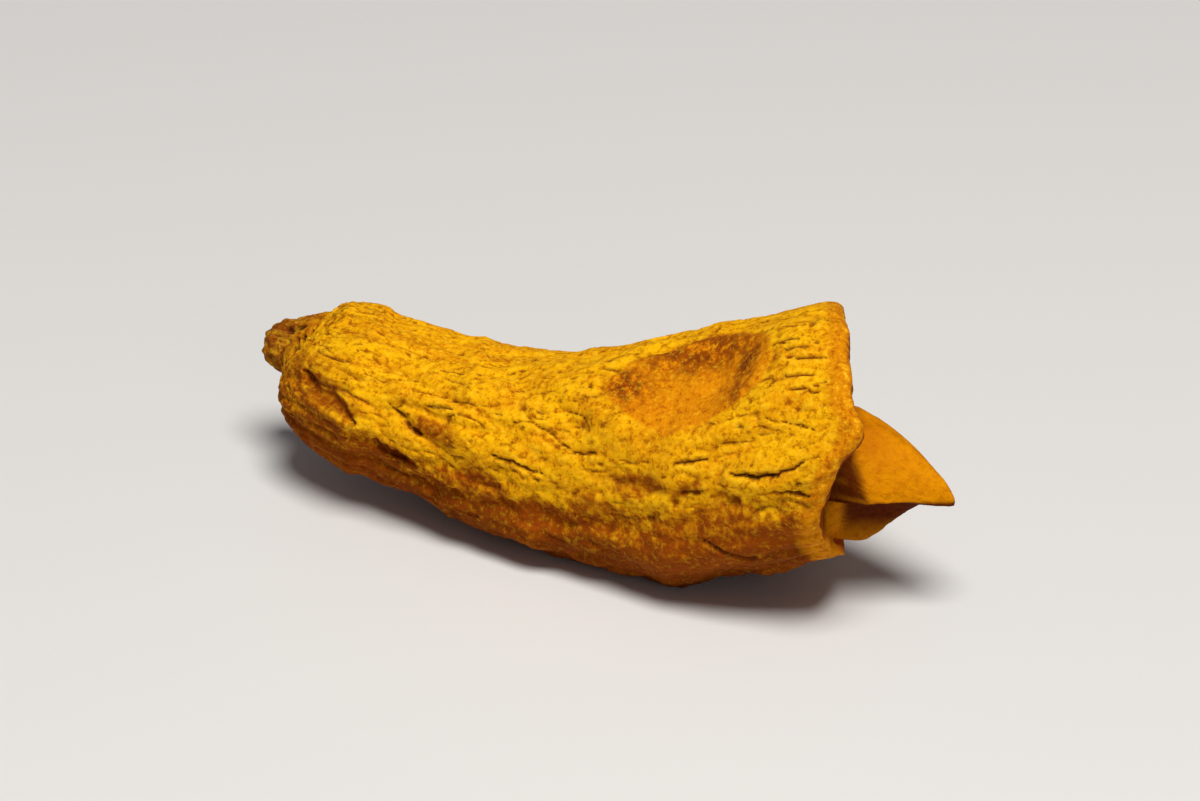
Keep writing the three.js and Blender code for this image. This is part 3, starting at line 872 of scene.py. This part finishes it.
def dried_skin(finish):
    """Rhizome skin, boiled and sun-dried: matte and powdery yellow, with brown patches, painted shade
    browning its hollows and underside, and painted light on its crowns.
    """
    material = bpy.data.materials.new("dried_turmeric_skin")
    material.use_nodes = True
    tree = material.node_tree
    tree.nodes.clear()
    place = node(tree, "ShaderNodeTexCoord").outputs["Object"]
    lay = node(tree, "ShaderNodeAttribute", {"attribute_name": "lay"}).outputs["Vector"]
    mask = {
        name: node(tree, "ShaderNodeAttribute", {"attribute_name": name}).outputs["Fac"]
        for name in (
            "hollow", "fine_relief_shading", "broad_relief_shading", "stain_and_shade", "scar", "scar_dark", "shaded_underside", "bare_and_shaded", "bud",
            "edge", "streaks",
        )
    }
    pale, gold, ochre, rust, crevice, pit, bud, scar, scar_wall, edge = (
        (*getattr(finish, name), 1)
        for name in ("pale", "gold", "ochre", "rust", "crevice", "pit", "bud", "scar", "scar_wall", "edge")
    )

    # Patches of powder 3.4 mm long and bare streaks 3 mm long run along the root like its wrinkles.
    drawn = []
    for long, wide, detail in ((3.4, 1.4, 5), (3, 0.45, 3)):
        scale = (1000 / long, 1000 / wide, 1000 / wide)
        run = node(tree, "ShaderNodeVectorMath", {"operation": "MULTIPLY"}, _0=lay, _1=scale).outputs[0]
        drawn.append(node(tree, "ShaderNodeTexNoise", Vector=run, Scale=1, Detail=detail, Roughness=0.6))
    patch, streak = (made.outputs["Fac"] for made in drawn)

    # Grains of cork 0.35 mm across, specks 0.2 mm across and powder 0.1 mm across, each half as wide as a
    # cell of its noise. Real powder is finer, and is drawn this coarse to show.
    cork, speck, powder = (
        node(
            tree, "ShaderNodeTexNoise", Vector=place, Scale=1000 / size, Detail=detail, Roughness=roughness
        ).outputs["Fac"]
        for size, detail, roughness in ((0.7, 3, 0.7), (0.42, 4, 0.75), (0.2, 3, 0.7))
    )

    # Painted shade on the underside begins in ragged grains, grains break up the brown patches, and powder
    # specks and gold streaks thin out over both.
    ragged = node(
        tree, "ShaderNodeMath", {"operation": "MULTIPLY_ADD"}, _0=cork, _1=1.8, _2=mask["shaded_underside"]
    ).outputs[0]
    darkened = node(
        tree, "ShaderNodeMapRange", Value=cork, From_Min=0.4, From_Max=0.55, To_Min=0.65, To_Max=1
    ).outputs[0]
    darkened = node(tree, "ShaderNodeMath", {"operation": "MULTIPLY"}, _0=darkened, _1=mask["stain_and_shade"]).outputs[0]
    powder_and_light = node(tree, "ShaderNodeMapRange", Value=mask["bare_and_shaded"], To_Min=1, To_Max=0.25).outputs[0]
    bright_streaks = node(
        tree, "ShaderNodeMath", {"operation": "MULTIPLY"}, _0=powder_and_light, _1=mask["streaks"]
    ).outputs[0]

    # The colour is laid on in layers. Each has the value that it follows, where that begins and is full, its
    # greatest strength, the mask that it keeps to, and its colour.
    tone = ochre
    for value, begin, full, most, within, tint in (
        (patch, 0.38, 0.6, 1, None, gold),
        # Painted light and shade: crowns are painted paler, and hollows and the underside darker and browner.
        # Then come the brown patches.
        (mask["broad_relief_shading"], -0.1, -0.9, 0.6, None, gold),
        (mask["fine_relief_shading"], -0.2, -0.9, 0.4, None, pale),
        (mask["broad_relief_shading"], 0.05, 1, 0.6, None, rust),
        (ragged, 1.05, 1.55, 0.9, None, rust),
        (ragged, 1.35, 1.9, 0.9, None, crevice),
        (mask["fine_relief_shading"], 0.15, 1, 0.75, None, crevice),
        (darkened, 0, 1, 1, None, rust),
        (darkened, 0.7, 1, 0.8, None, crevice),
        # The bud is dark, with darker blotches, and streaks run in to it.
        (mask["bud"], 0, 1, 1, None, bud),
        (cork, 0.46, 0.58, 0.8, mask["bud"], crevice),
        (streak, 0.5, 0.66, 0.85, mask["streaks"], crevice),
        (streak, 0.46, 0.34, 0.5, bright_streaks, gold),
        (mask["edge"], 0, 1, 1, None, edge),
        # The shoot scar has a bare orange floor, with dark cork on its far and left walls.
        (mask["scar"], 0, 1, 0.85, None, scar),
        (cork, 0.36, 0.5, 1, mask["scar_dark"], scar_wall),
        (cork, 0.54, 0.64, 0.7, mask["scar_dark"], pit),
        # Specks of bare skin and of thick powder lie over all of it, and cracks and pits are darkened with
        # painted shade.
        (speck, 0.52, 0.66, 0.8, None, rust),
        (speck, 0.47, 0.35, 0.65, powder_and_light, pale),
        (mask["hollow"], 0, 1, 1, None, pit),
    ):
        share = node(
            tree, "ShaderNodeMapRange", Value=value, From_Min=begin, From_Max=full, To_Max=most
        ).outputs[0]
        if within is not None:
            share = node(tree, "ShaderNodeMath", {"operation": "MULTIPLY"}, _0=share, _1=within).outputs[0]
        tone = node(tree, "ShaderNodeMix", {"data_type": "RGBA"}, _0=share, _6=tone, _7=tint).outputs[2]

    # Specks and powder are too fine for the mesh.
    bump = node(tree, "ShaderNodeBump", Height=speck, Strength=0.7, Distance=0.12 * MM).outputs[0]
    bump = node(
        tree, "ShaderNodeBump", Height=powder, Strength=0.6, Distance=0.06 * MM, Normal=bump
    ).outputs[0]
    shader = node(
        tree, "ShaderNodeBsdfPrincipled",
        Base_Color=tone, Roughness=0.92, Normal=bump, Specular_IOR_Level=0.08,
    )
    node(tree, "ShaderNodeOutputMaterial", Surface=shader.outputs[0])
    return material


def broken_bed(finish):
    """Broken rhizome flesh: dry and grainy, a duller orange than the core."""
    material = bpy.data.materials.new("broken_turmeric_flesh")
    material.use_nodes = True
    tree = material.node_tree
    tree.nodes.clear()
    place = node(tree, "ShaderNodeTexCoord").outputs["Object"]
    gap = node(tree, "ShaderNodeAttribute", {"attribute_name": "gap"}).outputs["Fac"]
    recess_light = node(tree, "ShaderNodeAttribute", {"attribute_name": "recess_light"}).outputs["Fac"]

    # Torn fibres and grains, 0.5 mm across.
    grain = node(
        tree, "ShaderNodeTexNoise", Vector=place, Scale=1000 / 0.9, Detail=5, Roughness=0.7
    ).outputs["Fac"]
    torn = node(tree, "ShaderNodeMapRange", Value=grain, From_Min=0.45, From_Max=0.65, To_Max=0.8).outputs[0]
    tone = (*finish.bed, 1)
    # Torn grains are darker, the gap is painted in shade, and the recess is painted in light.
    for value, tint in ((torn, finish.scar_wall), (gap, finish.rust), (recess_light, finish.edge)):
        tone = node(tree, "ShaderNodeMix", {"data_type": "RGBA"}, _0=value, _6=tone, _7=(*tint, 1)).outputs[2]
    bump = node(tree, "ShaderNodeBump", Height=grain, Strength=0.7, Distance=0.2 * MM).outputs[0]
    shader = node(
        tree, "ShaderNodeBsdfPrincipled",
        Base_Color=tone, Roughness=0.9, Normal=bump, Specular_IOR_Level=0.06,
    )
    node(tree, "ShaderNodeOutputMaterial", Surface=shader.outputs[0])
    return material


def snapped_core(finish):
    """Snapped core of a dried rhizome: hard, horny and faintly waxy, with a smooth deep orange break."""
    material = bpy.data.materials.new("snapped_turmeric_core")
    material.use_nodes = True
    tree = material.node_tree
    tree.nodes.clear()
    place = node(tree, "ShaderNodeTexCoord").outputs["Object"]
    undercut_shade = node(tree, "ShaderNodeAttribute", {"attribute_name": "undercut_shade"}).outputs["Fac"]

    # Clouds 2 mm across in the starch, with fine grains of 0.3 mm.
    cloud, grain = (
        node(
            tree, "ShaderNodeTexNoise", Vector=place, Scale=1000 / size, Detail=detail, Roughness=0.65
        ).outputs["Fac"]
        for size, detail in ((3.5, 6), (0.5, 4))
    )
    clouded, grained = (
        node(tree, "ShaderNodeMapRange", Value=value, From_Min=begin, From_Max=full, To_Max=most).outputs[0]
        for value, begin, full, most in ((cloud, 0.48, 0.7, 0.7), (grain, 0.5, 0.68, 0.6))
    )
    # Painted shade under the core's overhang and on its near wall, faintly broken by the grain.
    darkened = node(
        tree, "ShaderNodeMapRange", Value=grain, From_Min=0.4, From_Max=0.6, To_Min=0.96, To_Max=1
    ).outputs[0]
    darkened = node(tree, "ShaderNodeMath", {"operation": "MULTIPLY"}, _0=darkened, _1=undercut_shade).outputs[0]
    tone = (*finish.core, 1)
    for value, tint in (
        (clouded, finish.core_deep),
        (grained, finish.core_deep),
        (darkened, finish.undercut_shade),
    ):
        tone = node(tree, "ShaderNodeMix", {"data_type": "RGBA"}, _0=value, _6=tone, _7=(*tint, 1)).outputs[2]
    bump = node(tree, "ShaderNodeBump", Height=grain, Strength=0.8, Distance=0.25 * MM).outputs[0]
    shader = node(
        tree, "ShaderNodeBsdfPrincipled",
        Base_Color=tone, Roughness=0.6, Normal=bump, Specular_IOR_Level=0.03,
    )
    node(tree, "ShaderNodeOutputMaterial", Surface=shader.outputs[0])
    return material


class TURMERIC_OT_root(bpy.types.Operator):
    """Grow the dried turmeric finger in place of its plain solid"""

    bl_idname = "turmeric.root"
    bl_label = "Turmeric finger"

    def execute(self, context):
        root = make_root(context.scene.turmeric_relief, context.scene.turmeric_finish)
        if root.data.validate():
            raise RuntimeError("the turmeric finger's mesh isn't valid with these settings")
        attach(root, "root")
        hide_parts("turmeric_root")
        return {"FINISHED"}


def add_light(name, place, target, size, power):
    """Adds a soft round light that shines on target."""
    lamp = bpy.data.lights.new(name, "AREA")
    lamp.shape = "DISK"
    lamp.size = size
    lamp.energy = power
    light = bpy.data.objects.new(name, lamp)
    light.location = place
    light.rotation_euler = (Vector(target) - Vector(place)).to_track_quat("-Z", "Y").to_euler()
    bpy.context.scene.collection.objects.link(light)


class TURMERIC_OT_stage(bpy.types.Operator):
    """Set the plain floor, the soft lights and the camera"""

    bl_idname = "turmeric.stage"
    bl_label = "Stage"

    def execute(self, context):
        stage = context.scene.turmeric_stage
        low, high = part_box("turmeric_root")
        if low.z < -MM:
            raise RuntimeError("the root reaches below the floor")
        bm = bmesh.new()
        bmesh.ops.create_circle(bm, cap_ends=True, segments=96, radius=stage.floor_radius)
        mesh = bpy.data.meshes.new("floor")
        bm.to_mesh(mesh)
        bm.free()

        # Matt painted board gives an even, pale ground with no shine.
        material = bpy.data.materials.new("pale_floor")
        material.use_nodes = True
        shader = material.node_tree.nodes["Principled BSDF"]
        shader.inputs["Base Color"].default_value = (*stage.floor, 1)
        shader.inputs["Roughness"].default_value = 0.75
        mesh.materials.append(material)
        floor = bpy.data.objects.new("floor", mesh)
        context.scene.collection.objects.link(floor)

        middle = (low + high) / 2
        for name, (place, size), power in (
            ("key", KEY_LIGHT, stage.key_power),
            ("fill", FILL_LIGHT, stage.fill_power),
        ):
            add_light(name, place, middle, size, power)
        world = bpy.data.worlds.new("studio")
        world.use_nodes = True
        world.node_tree.nodes["Background"].inputs["Color"].default_value = SKY_COLOUR
        world.node_tree.nodes["Background"].inputs["Strength"].default_value = SKY_STRENGTH
        context.scene.world = world
        context.scene.view_settings.view_transform = "Standard"

        lens = bpy.data.cameras.new("camera")
        lens.lens = stage.lens
        lens.sensor_width = 36
        camera = bpy.data.objects.new("camera", lens)
        back = Vector((
            math.sin(stage.azimuth) * math.cos(stage.elevation),
            -math.cos(stage.azimuth) * math.cos(stage.elevation),
            math.sin(stage.elevation),
        ))
        camera.location = middle + back * stage.distance
        camera.rotation_euler = (-back).to_track_quat("-Z", "Y").to_euler()
        lens.clip_start = 0.01
        context.scene.collection.objects.link(camera)
        context.scene.camera = camera
        return {"FINISHED"}


class TURMERIC_PT_sidebar(bpy.types.Panel):
    """Lists the operators and their settings"""

    bl_idname = "TURMERIC_PT_sidebar"
    bl_label = "Turmeric"
    bl_space_type = "VIEW_3D"
    bl_region_type = "UI"
    bl_category = "Turmeric"

    def draw(self, context):
        self.layout.operator(TURMERIC_OT_root.bl_idname)
        self.layout.operator(TURMERIC_OT_stage.bl_idname)
        for group in (getattr(context.scene, name) for name in GROUPS):
            for name in group.__annotations__:
                self.layout.prop(group, name)


GROUPS = {
    "turmeric_relief": TurmericRelief,
    "turmeric_finish": TurmericFinish,
    "turmeric_stage": TurmericStage,
}
CLASSES = (*GROUPS.values(), TURMERIC_OT_root, TURMERIC_OT_stage, TURMERIC_PT_sidebar)


def register():
    for cls in CLASSES:
        bpy.utils.register_class(cls)
    for name, group in GROUPS.items():
        setattr(bpy.types.Scene, name, PointerProperty(type=group))


def unregister():
    for name in GROUPS:
        delattr(bpy.types.Scene, name)
    for cls in reversed(CLASSES):
        bpy.utils.unregister_class(cls)


def main():
    register()
    bpy.ops.turmeric.root()
    bpy.ops.turmeric.stage()


if __name__ == "__main__":
    main()
